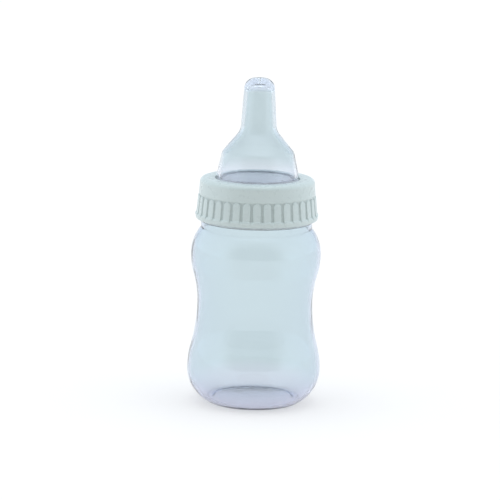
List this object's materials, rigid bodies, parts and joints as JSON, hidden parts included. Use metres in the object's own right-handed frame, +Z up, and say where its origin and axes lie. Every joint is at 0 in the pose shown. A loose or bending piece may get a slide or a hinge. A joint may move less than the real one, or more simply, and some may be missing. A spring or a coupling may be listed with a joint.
{
  "type": "baby bottle",
  "caption": "Clear hourglass feeding bottle with a white ribbed screw collar, a clear nipple and a clear sealing disc under it.",
  "frame": {"origin": "on the bottle's axis, in the plane that the foot ring stands on", "axes": "+Z up along the bottle's axis from the foot to the nipple's tip; -Y faces the viewer, with a collar rib centred on it"},
  "size_m": [0.0506, 0.0506, 0.1235],
  "materials": {
    "clear_body": "clear moulded plastic with a faint blue tint",
    "white_collar": "white moulded plastic, semi-gloss",
    "clear_nipple": "clear silicone, smooth",
    "clear_disc": "clear moulded plastic with a lavender tint"
  },
  "bodies": {
    "bottle": {"bottle": "clear_body"},
    "nipple": {"nipple": "clear_nipple", "sealing_disc": "clear_disc"},
    "collar": {"collar": "white_collar"}
  },
  "joints": [
    {"name": "nipple_lift", "type": "slide", "parent": "bottle", "child": "nipple", "axis": [0, 0, 1], "range_m": [0, 0.0161]},
    {"name": "collar_turn", "type": "hinge", "parent": "nipple", "child": "collar", "pos_m": [0, 0, 0.078], "axis": [0, 0, 1], "range_deg": [0, 1440]}
  ],
  "couplings": [
    {"joint": "nipple_lift", "follows": "collar_turn", "m_per_rad": 0.00063662}
  ]
}
